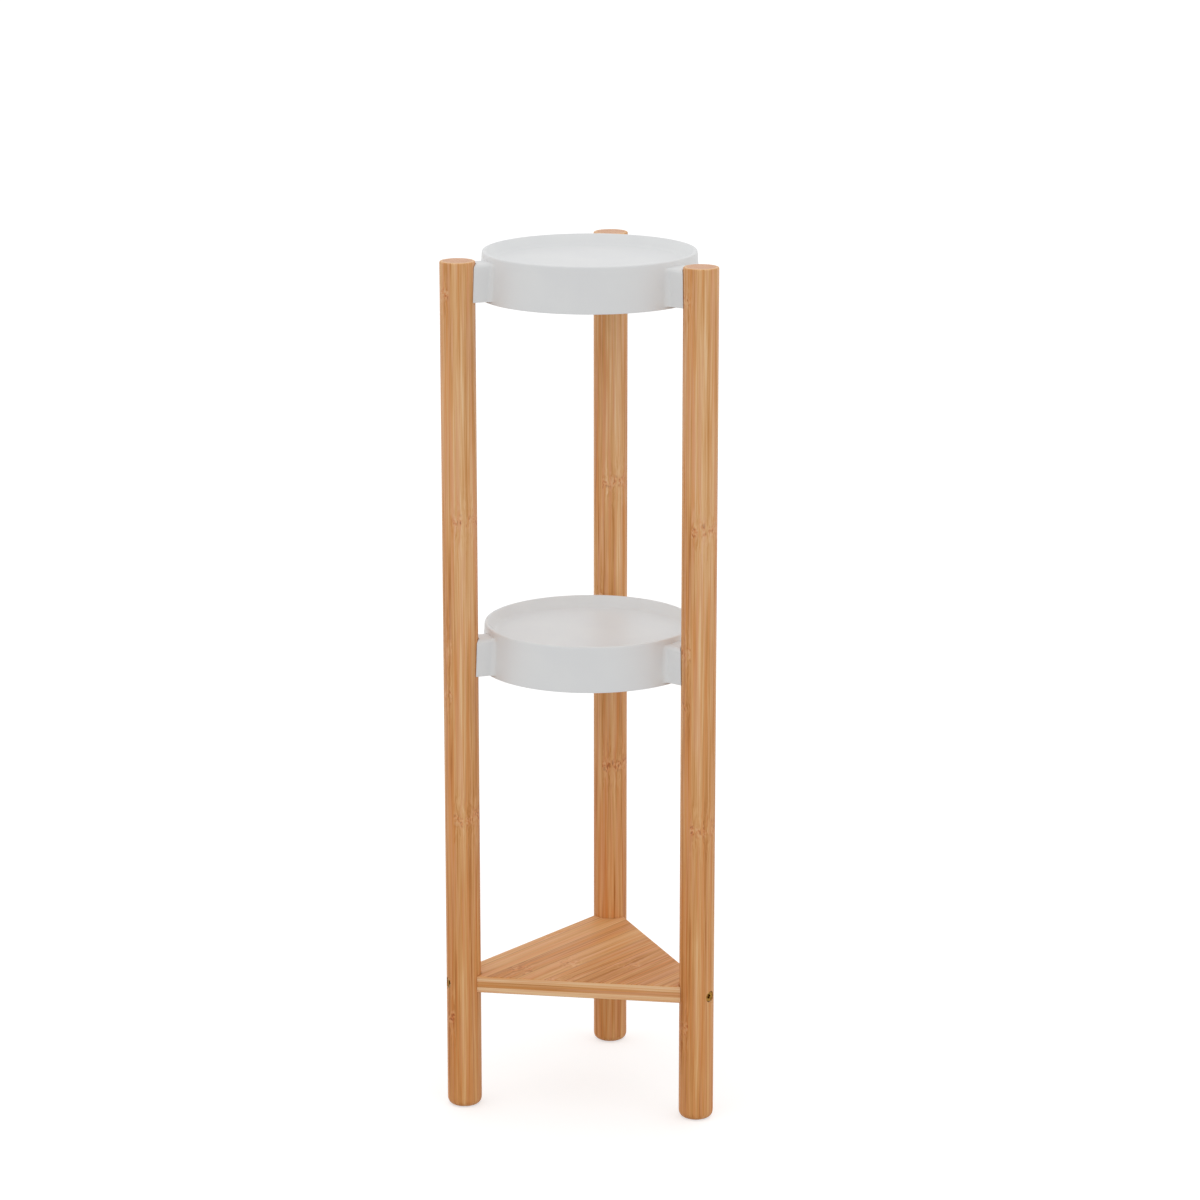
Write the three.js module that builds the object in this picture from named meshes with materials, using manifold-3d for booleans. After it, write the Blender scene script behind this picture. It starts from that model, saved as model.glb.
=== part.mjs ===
// Tiered plant stand: three bamboo legs carry two moulded trays and a bamboo shelf.
// Millimetres, +Z up, front towards -Y. The origin is on the floor, under the middle of the outline.

import * as THREE from "three";
import { mergeVertices, toCreasedNormals } from "three/addons/utils/BufferGeometryUtils.js";
import Module from "manifold-3d";

// Fits
const SEAT_GAP = 0.3; // between two pieces that seat on each other
const OVERCUT = 2; // how far a cutting shape runs past the face that it opens
const SEAM = 0.01; // points closer than this count as one

// Legs, at the corners of an equilateral triangle round the stand's axis
const LEG_RADIUS = 15;
const LEG_HEIGHT = 750;
const LEG_FOOT_ROUND = 7;
const LEG_TOP_ROUND = 1.5;
const LEG_SIDES = 36;
const LEG_ANGLES = { rear: 90, left: 210, right: 330 };

// Trays: a shallow dish on a deep skirt, with a lug that seats against each leg
const UPPER_RIM_PROUD = 2.5; // leg tops to the rim of the upper tray
const MIDDLE_RIM = 428.5; // floor to the rim of the middle tray
const TRAY_RADIUS = 91.2; // outside of the rim
const TRAY_FLARE = 3; // how much wider the skirt is at its bottom edge
const TRAY_HEIGHT = 39.3;
const TRAY_WALL = 2.5;
const TRAY_RIM_ROUND = 1.5;
const TRAY_RIM_LAND = 0.5;
const TRAY_EDGE_ROUND = 0.5;
const TRAY_SIDES = 48;
const DISH_DEPTH = 9;
const DISH_WALL_RUN = 6.4; // width of the sloping dish wall, seen from above
const DISH_LIP = 0.8; // width of the round between the dish wall and the rim
const DISH_COVE = 3; // reach of the round between the dish wall and the floor
const COVE_TOP = 4.2; // rim to the top of the hollow behind the dish wall
const LUG_LENGTH = 12.1; // rim to the nearest point of the leg seat
const LUG_SHY = 4.1; // how much narrower the lug is than the leg, on each side
const LUG_FLARE = 1.8;
const LUG_DROP = 5; // rim to the top of a lug
const LUG_ROUND = 3.5; // round along the top edges of a lug
const LUG_RISE = 2.3; // bottom edge of the skirt to the underside of a lug
const LUG_FILLET = 3.5; // between a lug and the skirt, at the height of the rim
const LUG_FILLET_GROWTH = 2.5; // how much larger that fillet is at the bottom edge
const LUG_TIP = 0.4; // flat on the tips that reach round the leg
const LUG_END_WALL = 5;
const SKIRT_STEPS = 12; // facets of the skirt between two lugs
const FILLET_STEPS = 3; // facets of the fillet beside a lug
const RIB_COUNT = 12;
const RIB_THICKNESS = 1.8;
const RIB_DEPTH = 6;
const RIB_RING_RADIUS = 30;

// Shelf: a triangular board whose corners are hollowed to fit the legs
const SHELF_TOP = 121;
const SHELF_THICKNESS = 15;
const SHELF_OVERHANG = 7.7; // line between two leg axes to the board's edge
const SHELF_EDGE_ROUND = 1;

// Shelf bolts, each through a leg into a barrel nut in the shelf
const BOLT_RADIUS = 3;
const BOLT_LENGTH = 50;
const BOLT_PAST_NUT = 7; // nut's axis to the bolt's tip
const BOLT_HEAD_RADIUS = 4.7;
const BOLT_HEAD_HEIGHT = 4;
const BOLT_HEAD_SINK = 1.2; // leg surface to the face of the head
const BOLT_HEAD_EDGE = 0.6;
const BOLT_SOCKET = 4; // across the flats
const BOLT_SOCKET_DEPTH = 2.5;
const NUT_RADIUS = 5;
const NUT_COVER = 2.5; // end of a nut to the nearer face of the shelf
const NUT_EDGE = 0.5;

// Tray screws, each driven through the skirt and a lug's end wall into a threaded insert in the leg
const SCREW_RADIUS = 3;
const SCREW_LENGTH = 16;
const SCREW_HEAD_RADIUS = 5.25;
const SCREW_HEAD_HEIGHT = 3.3;
const SCREW_HEAD_ROUND = 2.6;
const SCREW_SOCKET = 4;
const SCREW_SOCKET_DEPTH = 2;
const SCREW_DROP = 15; // rim to the screw's axis, just under the dish floor
const DRIVER_GAP = 1; // round a screw's head, in the hole that it is driven through
const INSERT_WALL = 1.4;
const INSERT_LENGTH = 10;
const INSERT_SINK = 1; // leg surface to the mouth of the insert
const INSERT_FLANGE = 1.2; // thickness of the flange
const INSERT_FLANGE_STEP = 0.7; // how far the flange stands out
const FASTENER_SIDES = 12;
const HEAD_SIDES = 18;

// Places that follow from the sizes above
const TRAY_RIMS = { upper: LEG_HEIGHT + UPPER_RIM_PROUD, middle: MIDDLE_RIM };
const LEG_SEAT_RADIUS = LEG_RADIUS + SEAT_GAP;
const SEAT_REACH = TRAY_RADIUS + LUG_LENGTH; // stand axis to the nearest point of a leg seat
const LEG_CIRCLE = SEAT_REACH + LEG_SEAT_RADIUS; // stand axis to leg axis
const DISH_RIM_RADIUS = TRAY_RADIUS - TRAY_RIM_ROUND - TRAY_RIM_LAND;
const DISH_FLOOR_RADIUS = DISH_RIM_RADIUS - DISH_LIP - DISH_WALL_RUN;
const DISH_SLOPE = DISH_WALL_RUN / DISH_DEPTH;
const CEILING = -DISH_DEPTH - TRAY_WALL; // rim to the underside of the dish floor
const SHELF_BOTTOM = SHELF_TOP - SHELF_THICKNESS;
const SHELF_MIDDLE = (SHELF_TOP + SHELF_BOTTOM) / 2;
const BOLT_SEAT = LEG_RADIUS - BOLT_HEAD_SINK - BOLT_HEAD_HEIGHT; // leg axis to the head's underside
const BOLT_TIP = LEG_CIRCLE + BOLT_SEAT - BOLT_LENGTH;
const BOLT_HOLE_RADIUS = BOLT_RADIUS + SEAT_GAP;
const NUT_REACH = BOLT_TIP + BOLT_PAST_NUT;
const NUT_LENGTH = SHELF_THICKNESS - 2 * NUT_COVER;
const POCKET_END = SEAT_REACH - LUG_END_WALL;
const SCREW_SEAT = POCKET_END - SEAT_GAP; // stand axis to the underside of a tray screw's head
const SCREW_TIP = SCREW_SEAT + SCREW_LENGTH;
const SCREW_HOLE_RADIUS = SCREW_RADIUS + SEAT_GAP;
const INSERT_RADIUS = SCREW_HOLE_RADIUS + INSERT_WALL;
const INSERT_FLANGE_RADIUS = INSERT_RADIUS + INSERT_FLANGE_STEP;
const INSERT_MOUTH = LEG_CIRCLE - LEG_RADIUS + INSERT_SINK;
const INSERT_HOLE_END = Math.max(INSERT_MOUTH + INSERT_LENGTH, SCREW_TIP) + SEAT_GAP;
const AXIS = new THREE.Vector2(); // the stand's axis, seen from above

const MATERIALS = {
  bamboo: new THREE.MeshStandardMaterial({ color: 0xc79364, roughness: 0.55, metalness: 0 }),
  plastic: new THREE.MeshStandardMaterial({ color: 0xe4e3e2, roughness: 0.45, metalness: 0 }),
  brass: new THREE.MeshStandardMaterial({ color: 0xb08a45, roughness: 0.35, metalness: 1 }),
  steel: new THREE.MeshStandardMaterial({ color: 0xb4b6b8, roughness: 0.35, metalness: 1 }),
};

const radians = THREE.MathUtils.degToRad;
const wasm = await Module();
wasm.setup();

// ---- Solids ----

// The closed solid that a geometry bounds.
function solid(geometry) {
  const bare = geometry.clone().deleteAttribute("normal").deleteAttribute("uv");
  const merged = mergeVertices(bare);
  const corners = merged.index.array;
  const triangles = [];
  for (let i = 0; i < corners.length; i += 3) {
    const [a, b, c] = corners.slice(i, i + 3);
    if (a !== b && b !== c && c !== a) triangles.push(a, b, c);
  }
  const vertProperties = new Float32Array(merged.attributes.position.array);
  const triVerts = new Uint32Array(triangles);
  return new wasm.Manifold(new wasm.Mesh({ numProp: 3, vertProperties, triVerts }));
}

// The geometry of a solid, with its sharp edges kept sharp.
function surface(body) {
  const { vertProperties, triVerts } = body.getMesh();
  const geometry = new THREE.BufferGeometry();
  geometry.setAttribute("position", new THREE.BufferAttribute(vertProperties, 3));
  geometry.setIndex(new THREE.BufferAttribute(triVerts, 1));
  return toCreasedNormals(geometry, radians(30));
}

const cut = (body, tools) => tools.reduce((rest, tool) => rest.subtract(tool), body);
const join = (bodies) => bodies.reduce((all, body) => all.add(body));

// ---- Shapes ----

// A profile through corners [x, y, reach], where a reach rounds the corner off over that length.
function profile(corners, steps = 3) {
  const points = corners.map(([x, y]) => new THREE.Vector2(x, y));
  return corners.flatMap(([, , reach], i) => {
    if (!reach) return [points[i]];
    const towards = (other) => other.clone().sub(points[i]).setLength(reach).add(points[i]);
    const round = [towards(points[i - 1]), points[i], towards(points[i + 1])];
    return new THREE.QuadraticBezierCurve(...round).getPoints(steps);
  });
}

// A profile of [radius, height] points turned round the Z axis.
function revolve(points, sides) {
  return new THREE.LatheGeometry(points, sides).rotateX(Math.PI / 2);
}

// A closed body through outlines of equal length, each at its own height, from the bottom up.
function loft(levels) {
  const count = levels[0].outline.length;
  const index = [];
  const positions = levels.flatMap(({ outline, z }) => outline.flatMap(({ x, y }) => [x, y, z]));
  for (let level = 1; level < levels.length; level++) {
    for (let i = 0; i < count; i++) {
      const low = (level - 1) * count;
      const next = (i + 1) % count;
      index.push(low + i, low + next, low + count + next);
      index.push(low + i, low + count + next, low + count + i);
    }
  }
  const lid = (level) => THREE.ShapeUtils.triangulateShape(levels[level].outline, []);
  const top = levels.length - 1;
  lid(0).forEach(([a, b, c]) => index.push(c, b, a));
  lid(top).forEach((face) => index.push(...face.map((i) => i + top * count)));
  const geometry = new THREE.BufferGeometry();
  geometry.setAttribute("position", new THREE.Float32BufferAttribute(positions, 3));
  geometry.setIndex(index);
  return geometry;
}

// A round bar along X.
function bar(radius, from, to, sides = FASTENER_SIDES) {
  const geometry = new THREE.CylinderGeometry(radius, radius, to - from, sides);
  return geometry.rotateZ(-Math.PI / 2).translate((from + to) / 2, 0, 0);
}

// A hexagonal bar along Z, sized across its flats.
function hexBar(acrossFlats, from, to) {
  const corner = acrossFlats / Math.sqrt(3);
  const geometry = new THREE.CylinderGeometry(corner, corner, to - from, 6);
  return geometry.rotateX(Math.PI / 2).translate(0, 0, (from + to) / 2);
}

// An outline made of the stretch round +X, repeated round each leg's direction.
function repeatRound(points) {
  const turned = (angle) => points.map((p) => p.clone().rotateAround(AXIS, radians(angle)));
  return Object.values(LEG_ANGLES).flatMap(turned);
}

// The solid that stands on each leg's direction, made from the one on +X.
function onEachLeg(geometry) {
  return Object.values(LEG_ANGLES).map((angle) => solid(geometry.clone().rotateZ(radians(angle))));
}

// The clearance that the shelf and the trays keep round each leg.
function legSeats(from, to) {
  const seat = new THREE.CylinderGeometry(LEG_SEAT_RADIUS, LEG_SEAT_RADIUS, to - from, LEG_SIDES);
  return onEachLeg(seat.rotateX(Math.PI / 2).translate(LEG_CIRCLE, 0, (from + to) / 2));
}

// ---- Legs ----

// A leg stands on its own axis, with the stand's axis towards -X.
function makeLeg() {
  const corners = [
    [0, 0],
    [LEG_RADIUS, 0, LEG_FOOT_ROUND],
    [LEG_RADIUS, LEG_HEIGHT, LEG_TOP_ROUND],
    [0, LEG_HEIGHT],
  ];
  const past = LEG_RADIUS + OVERCUT;
  const boltHole = bar(BOLT_HOLE_RADIUS, -past, past);
  const headHole = bar(BOLT_HEAD_RADIUS + SEAT_GAP, BOLT_SEAT - SEAT_GAP, past, HEAD_SIDES);
  const insertHole = bar(INSERT_RADIUS + SEAT_GAP, -past, INSERT_HOLE_END - LEG_CIRCLE);
  const flangeEnd = INSERT_MOUTH + INSERT_FLANGE + SEAT_GAP - LEG_CIRCLE;
  const flangeHole = bar(INSERT_FLANGE_RADIUS + SEAT_GAP, -past, flangeEnd);
  const at = (hole, height) => solid(hole.clone().translate(0, 0, height));
  const holes = [at(boltHole, SHELF_MIDDLE), at(headHole, SHELF_MIDDLE)];
  for (const rim of Object.values(TRAY_RIMS)) {
    holes.push(at(insertHole, rim - SCREW_DROP), at(flangeHole, rim - SCREW_DROP));
  }
  return surface(cut(solid(revolve(profile(corners, 4), LEG_SIDES)), holes));
}

// ---- Trays, with the rim at height 0 ----

const trayRadiusAt = (z) => TRAY_RADIUS - (TRAY_FLARE * z) / TRAY_HEIGHT;
const lugHalfWidthAt = (z) => LEG_RADIUS - LUG_SHY - (LUG_FLARE * z) / TRAY_HEIGHT;
const lugFilletAt = (z) => LUG_FILLET - (LUG_FILLET_GROWTH * z) / TRAY_HEIGHT;

// Points on an arc, from one turn to another in radians.
function arc(centre, radius, from, to, steps) {
  return Array.from({ length: steps + 1 }, (_, i) => {
    const turn = from + ((to - from) * i) / steps;
    return new THREE.Vector2(Math.cos(turn), Math.sin(turn)).multiplyScalar(radius).add(centre);
  });
}

// The outline round skirt and lugs at a height: a lug and the skirt up to the next, repeated.
// Each side of a lug is drawn in by an inset.
function lugOutline(z, inset = 0) {
  const radius = trayRadiusAt(z);
  const half = lugHalfWidthAt(z) - inset;
  const fillet = lugFilletAt(z);
  const run = Math.sqrt((radius + fillet) ** 2 - (half + fillet) ** 2);
  const centre = new THREE.Vector2(run, half + fillet);
  const meet = centre.angle(); // where the skirt leaves the fillet, seen from the stand's axis
  const side = arc(centre, fillet, -Math.PI / 2, meet - Math.PI, FILLET_STEPS);
  const mirrored = side.map(({ x, y }) => new THREE.Vector2(x, -y)).reverse();
  const reach = LEG_CIRCLE - Math.sqrt(LEG_SEAT_RADIUS ** 2 - (half - LUG_TIP) ** 2);
  const end = [-half, 0, half].map((y) => new THREE.Vector2(reach, y));
  const skirt = arc(AXIS, radius, meet, radians(120) - meet, SKIRT_STEPS).slice(1, -1);
  return repeatRound([...mirrored, ...end, ...side, ...skirt]);
}

// The same points, with those of the lugs drawn back to the skirt.
function skirtOutline(z, inset = 0) {
  const radius = trayRadiusAt(z);
  const isPast = (point) => point.length() > radius + SEAM;
  return lugOutline(z, inset).map((point) => (isPast(point) ? point.setLength(radius) : point));
}

// The skirt's outline, drawn in all round by a rounded edge.
function edgeOutline(z, lugInset, inset) {
  const shrink = 1 - inset / trayRadiusAt(z);
  return skirtOutline(z, lugInset).map((point) => point.multiplyScalar(shrink));
}

// The outside of a tray. Lugs with rounded tops stand out from the skirt, which runs on round
// above and below them.
function trayBlank() {
  const bottom = -TRAY_HEIGHT;
  const underside = bottom + LUG_RISE;
  const levels = [
    { z: bottom, outline: edgeOutline(bottom, 0, TRAY_EDGE_ROUND) },
    { z: bottom + TRAY_EDGE_ROUND, outline: skirtOutline(bottom + TRAY_EDGE_ROUND) },
    { z: underside, outline: skirtOutline(underside) },
    { z: underside, outline: lugOutline(underside) },
  ];
  for (const turn of [0, 45, 90].map(radians)) {
    const z = LUG_ROUND * (Math.sin(turn) - 1) - LUG_DROP;
    levels.push({ z, outline: lugOutline(z, LUG_ROUND * (1 - Math.cos(turn))) });
  }
  levels.push({ z: -LUG_DROP, outline: skirtOutline(-LUG_DROP, LUG_ROUND) });
  for (const turn of [0, 45, 90].map(radians)) {
    const z = TRAY_RIM_ROUND * (Math.sin(turn) - 1);
    levels.push({ z, outline: edgeOutline(z, LUG_ROUND, TRAY_RIM_ROUND * (1 - Math.cos(turn))) });
  }
  return loft(levels);
}

// Radius of the underside of the sloping dish wall at a height.
function dishBackAt(z) {
  return DISH_FLOOR_RADIUS + (z + DISH_DEPTH) * DISH_SLOPE + TRAY_WALL * Math.hypot(1, DISH_SLOPE);
}

function dishHollow() {
  const corners = [
    [0, -DISH_DEPTH],
    [DISH_FLOOR_RADIUS, -DISH_DEPTH, DISH_COVE],
    [DISH_RIM_RADIUS - DISH_LIP, 0, DISH_LIP],
    [DISH_RIM_RADIUS, 0],
    [DISH_RIM_RADIUS, OVERCUT],
    [0, OVERCUT],
  ];
  return revolve(profile(corners, 2), TRAY_SIDES);
}

// Radial ribs and a ring that stiffen the dish floor from below. They keep off the lugs' directions.
function ribs() {
  const low = CEILING - RIB_DEPTH;
  const high = CEILING + OVERCUT;
  const outer = TRAY_RADIUS + TRAY_FLARE;
  const ring = profile([
    [RIB_RING_RADIUS, low],
    [RIB_RING_RADIUS + RIB_THICKNESS, low],
    [RIB_RING_RADIUS + RIB_THICKNESS, high],
    [RIB_RING_RADIUS, high],
    [RIB_RING_RADIUS, low],
  ]);
  const solids = [solid(revolve(ring, TRAY_SIDES / 2))];
  const length = outer - RIB_RING_RADIUS - RIB_THICKNESS / 2;
  for (let i = 0; i < RIB_COUNT; i++) {
    const rib = new THREE.BoxGeometry(length, RIB_THICKNESS, high - low);
    rib.translate(outer - length / 2, 0, (low + high) / 2);
    solids.push(solid(rib.rotateZ(radians(LEG_ANGLES.rear + ((i + 0.5) * 360) / RIB_COUNT))));
  }
  return join(solids);
}

// The hollow under a tray, up to the floor and into the corner behind the dish wall.
function skirtHollow() {
  const bottom = -TRAY_HEIGHT - OVERCUT;
  const points = profile([
    [0, bottom],
    [trayRadiusAt(bottom) - TRAY_WALL, bottom],
    [trayRadiusAt(-COVE_TOP) - TRAY_WALL, -COVE_TOP],
    [dishBackAt(-COVE_TOP), -COVE_TOP],
    [dishBackAt(CEILING), CEILING],
    [0, CEILING],
  ]);
  return solid(revolve(points, TRAY_SIDES)).subtract(ribs());
}

// The pocket that hollows a lug from below, between the skirt and the lug's end wall.
function lugPocket() {
  const near = trayRadiusAt(-TRAY_HEIGHT);
  const level = (z) => {
    const half = lugHalfWidthAt(z) - TRAY_WALL;
    const corners = [[near, -half], [POCKET_END, -half], [POCKET_END, half], [near, half]];
    return { z, outline: corners.map(([x, y]) => new THREE.Vector2(x, y)) };
  };
  return loft([level(-TRAY_HEIGHT - OVERCUT), level(-LUG_DROP - TRAY_WALL)]);
}

function makeTray() {
  const screwHole = bar(SCREW_HOLE_RADIUS, POCKET_END - OVERCUT, LEG_CIRCLE);
  const driverRadius = SCREW_HEAD_RADIUS + DRIVER_GAP;
  const driverStart = dishBackAt(driverRadius - SCREW_DROP) + SEAT_GAP;
  const driverHole = bar(driverRadius, driverStart, POCKET_END);
  return surface(
    cut(solid(trayBlank()), [
      solid(dishHollow()),
      skirtHollow(),
      ...onEachLeg(lugPocket()),
      ...onEachLeg(driverHole.translate(0, 0, -SCREW_DROP)),
      ...onEachLeg(screwHole.translate(0, 0, -SCREW_DROP)),
      ...legSeats(-TRAY_HEIGHT - OVERCUT, OVERCUT),
    ]),
  );
}

// ---- Shelf ----

// The board before its corners are hollowed: a triangle whose points are cut off at the leg axes.
function shelfOutline(inset) {
  const half = 2 * (SHELF_OVERHANG - inset) * Math.tan(radians(30));
  return repeatRound([-half, half].map((y) => new THREE.Vector2(LEG_CIRCLE, y)));
}

function makeShelf() {
  const levels = [0, 45, 90].map(radians).flatMap((turn) => {
    const outline = shelfOutline(SHELF_EDGE_ROUND * (1 - Math.sin(turn)));
    const rise = SHELF_EDGE_ROUND * (1 - Math.cos(turn));
    return [{ z: SHELF_BOTTOM + rise, outline }, { z: SHELF_TOP - rise, outline }];
  });
  levels.sort((a, b) => a.z - b.z);
  const boltHole = bar(BOLT_HOLE_RADIUS, BOLT_TIP - OVERCUT, LEG_CIRCLE);
  const nutHoleRadius = NUT_RADIUS + SEAT_GAP;
  const nutHoleTop = SHELF_MIDDLE + NUT_LENGTH / 2 + SEAT_GAP;
  const nutHoleDepth = nutHoleTop - SHELF_BOTTOM + OVERCUT;
  const nutHole = new THREE.CylinderGeometry(nutHoleRadius, nutHoleRadius, nutHoleDepth, HEAD_SIDES);
  nutHole.rotateX(Math.PI / 2).translate(NUT_REACH, 0, nutHoleTop - nutHoleDepth / 2);
  return surface(
    cut(solid(loft(levels)), [
      ...legSeats(SHELF_BOTTOM - OVERCUT, SHELF_TOP + OVERCUT),
      ...onEachLeg(boltHole.translate(0, 0, SHELF_MIDDLE)),
      ...onEachLeg(nutHole),
    ]),
  );
}

// ---- Fasteners, with the head's underside at the origin and the head towards +Z ----

function socketScrew(radius, length, headCorners, sides, socket, socketDepth) {
  const shank = [[0, -length], [radius, -length, radius / 4], [radius, 0]];
  const blank = solid(revolve(profile([...shank, ...headCorners], 2), sides));
  const face = headCorners.at(-1)[1];
  return surface(blank.subtract(solid(hexBar(socket, face - socketDepth, face + OVERCUT))));
}

// A flat cylindrical head with a softened edge.
function makeShelfBolt() {
  const head = [
    [BOLT_HEAD_RADIUS, 0],
    [BOLT_HEAD_RADIUS, BOLT_HEAD_HEIGHT, BOLT_HEAD_EDGE],
    [0, BOLT_HEAD_HEIGHT],
  ];
  return socketScrew(BOLT_RADIUS, BOLT_LENGTH, head, HEAD_SIDES, BOLT_SOCKET, BOLT_SOCKET_DEPTH);
}

// A domed button head.
function makeTrayScrew() {
  const head = [
    [SCREW_HEAD_RADIUS, 0],
    [SCREW_HEAD_RADIUS, SCREW_HEAD_HEIGHT, SCREW_HEAD_ROUND],
    [0, SCREW_HEAD_HEIGHT],
  ];
  return socketScrew(SCREW_RADIUS, SCREW_LENGTH, head, FASTENER_SIDES, SCREW_SOCKET, SCREW_SOCKET_DEPTH);
}

// A flanged sleeve, with its mouth at the origin and its far end towards +Z.
function makeInsert() {
  const points = profile([
    [SCREW_HOLE_RADIUS, 0],
    [INSERT_FLANGE_RADIUS, 0],
    [INSERT_FLANGE_RADIUS, INSERT_FLANGE],
    [INSERT_RADIUS, INSERT_FLANGE],
    [INSERT_RADIUS, INSERT_LENGTH],
    [SCREW_HOLE_RADIUS, INSERT_LENGTH],
    [SCREW_HOLE_RADIUS, 0],
  ]);
  return revolve(points, FASTENER_SIDES);
}

// A barrel nut, upright, with its thread's bore along X.
function makeBarrelNut() {
  const half = NUT_LENGTH / 2;
  const corners = [[0, -half], [NUT_RADIUS, -half, NUT_EDGE], [NUT_RADIUS, half, NUT_EDGE], [0, half]];
  const blank = solid(revolve(profile(corners, 1), HEAD_SIDES));
  const past = NUT_RADIUS + OVERCUT;
  return surface(blank.subtract(solid(bar(BOLT_HOLE_RADIUS, -past, past))));
}

// ---- Assembly ----

// The widest part of a skirt reaches furthest forward, and the rear leg furthest back.
const frontReach = trayRadiusAt(TRAY_EDGE_ROUND - TRAY_HEIGHT);
const rearReach = LEG_CIRCLE + LEG_RADIUS;
const stand = new THREE.Group();
stand.position.y = (frontReach - rearReach) / 2;

// Puts a named piece into a group.
function add(group, name, geometry, material, position) {
  const mesh = new THREE.Mesh(geometry, material);
  mesh.name = name;
  mesh.position.set(...position);
  group.add(mesh);
  return mesh;
}

// A piece made along Z, laid along the group's X axis, which points away from the stand's axis.
function addRadial(group, name, geometry, material, reach, height, outwards) {
  const mesh = add(group, name, geometry, material, [reach, 0, height]);
  mesh.rotation.y = outwards * (Math.PI / 2);
}

const tray = makeTray();
for (const [level, rim] of Object.entries(TRAY_RIMS)) {
  add(stand, `tray_${level}`, tray, MATERIALS.plastic, [0, 0, rim]);
}
add(stand, "shelf", makeShelf(), MATERIALS.bamboo, [0, 0, 0]);

const leg = makeLeg();
const shelfBolt = makeShelfBolt();
const barrelNut = makeBarrelNut();
const trayScrew = makeTrayScrew();
const insert = makeInsert();
for (const [side, angle] of Object.entries(LEG_ANGLES)) {
  const corner = new THREE.Group();
  corner.rotation.z = radians(angle);
  stand.add(corner);
  add(corner, `leg_${side}`, leg, MATERIALS.bamboo, [LEG_CIRCLE, 0, 0]);
  const boltReach = LEG_CIRCLE + BOLT_SEAT;
  addRadial(corner, `shelf_bolt_${side}`, shelfBolt, MATERIALS.brass, boltReach, SHELF_MIDDLE, 1);
  add(corner, `barrel_nut_${side}`, barrelNut, MATERIALS.steel, [NUT_REACH, 0, SHELF_MIDDLE]);
  for (const [level, rim] of Object.entries(TRAY_RIMS)) {
    const height = rim - SCREW_DROP;
    const name = `${level}_${side}`;
    addRadial(corner, `tray_screw_${name}`, trayScrew, MATERIALS.steel, SCREW_SEAT, height, -1);
    addRadial(corner, `leg_insert_${name}`, insert, MATERIALS.brass, INSERT_MOUTH, height, 1);
  }
}

export default stand;
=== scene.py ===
"""A tiered plant stand: three bamboo legs carry two moulded trays and a bamboo shelf.

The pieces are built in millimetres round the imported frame, and scaled to metres as they are made.
"""

import math

import bmesh
import bpy
from mathutils import Matrix, Vector


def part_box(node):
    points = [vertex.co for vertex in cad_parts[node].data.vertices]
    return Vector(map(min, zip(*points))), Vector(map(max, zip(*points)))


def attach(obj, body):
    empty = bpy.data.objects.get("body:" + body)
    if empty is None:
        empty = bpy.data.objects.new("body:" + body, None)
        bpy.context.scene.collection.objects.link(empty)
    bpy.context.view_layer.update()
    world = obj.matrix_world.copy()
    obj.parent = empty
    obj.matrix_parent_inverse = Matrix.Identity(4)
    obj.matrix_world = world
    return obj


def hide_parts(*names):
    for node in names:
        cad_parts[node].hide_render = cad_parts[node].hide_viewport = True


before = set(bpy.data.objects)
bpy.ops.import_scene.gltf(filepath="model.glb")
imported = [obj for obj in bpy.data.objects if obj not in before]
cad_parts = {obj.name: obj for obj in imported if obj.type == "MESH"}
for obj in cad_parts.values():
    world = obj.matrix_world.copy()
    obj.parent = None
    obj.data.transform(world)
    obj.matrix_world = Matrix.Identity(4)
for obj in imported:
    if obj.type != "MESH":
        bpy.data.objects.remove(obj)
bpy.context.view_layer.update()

# ---- Sizes ----

MM = 0.001  # metres in a millimetre
MERGE = MM / 1000  # points closer than this, in metres, are one


def box_mm(node):
    """Lowest and highest corner of a CAD node, in millimetres."""
    low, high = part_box(node)
    return low / MM, high / MM


def middle(node):
    """Middle of a CAD node, seen from above."""
    low, high = box_mm(node)
    return ((low + high) / 2).to_2d()


# Taken from the frame
LEG_ANGLES = {"right": -30, "rear": 90, "left": 210}  # degrees round the stand's axis
AXIS = sum((middle(f"leg_{side}") for side in LEG_ANGLES), Vector((0, 0))) / len(LEG_ANGLES)
LEG_CIRCLE = (middle("leg_rear") - AXIS).length  # stand axis to leg axis
LEG_LOW, LEG_HIGH = box_mm("leg_rear")
LEG_RADIUS = (LEG_HIGH.x - LEG_LOW.x) / 2
LEG_HEIGHT = LEG_HIGH.z
TRAY_LOW, TRAY_HIGH = box_mm("tray_upper")
TRAY_HEIGHT = TRAY_HIGH.z - TRAY_LOW.z
RIMS = {level: box_mm(f"tray_{level}")[1].z for level in ("upper", "middle")}
SHELF_BOTTOM, SHELF_TOP = (corner.z for corner in box_mm("shelf"))
SHELF_MIDDLE = (SHELF_BOTTOM + SHELF_TOP) / 2

# The same as in the CAD source
GAP = 0.3  # between pieces that touch
FOOT_ROUND = 7
TOP_ROUND = 1.5
TRAY_RADIUS = 91.2
TRAY_FLARE = 3  # how much wider the skirt is at its bottom edge
TRAY_WALL = 2.5
RIM_ROUND = 1.5
RIM_LAND = 0.5
EDGE_ROUND = 0.5
DISH_DEPTH = 9
DISH_WALL_RUN = 6.4  # width of the sloping dish wall, seen from above
DISH_LIP = 0.8  # width of the round between the dish wall and the rim
DISH_COVE = 3  # reach of the round between the dish wall and the floor
COVE_TOP = 4.2  # rim to the top of the hollow behind the dish wall
LUG_LENGTH = 12.1  # rim to the nearest point of the leg seat
LUG_SHY = 4.1  # how much narrower the lug is than the leg, on each side
LUG_FLARE = 1.8
LUG_DROP = 5  # rim to the top of a lug
LUG_ROUND = 3.5  # round along the top edges of a lug
LUG_RISE = 2.3  # bottom edge of the skirt to the underside of a lug
LUG_FILLET = 3.5  # between a lug and the skirt, at the height of the rim
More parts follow.
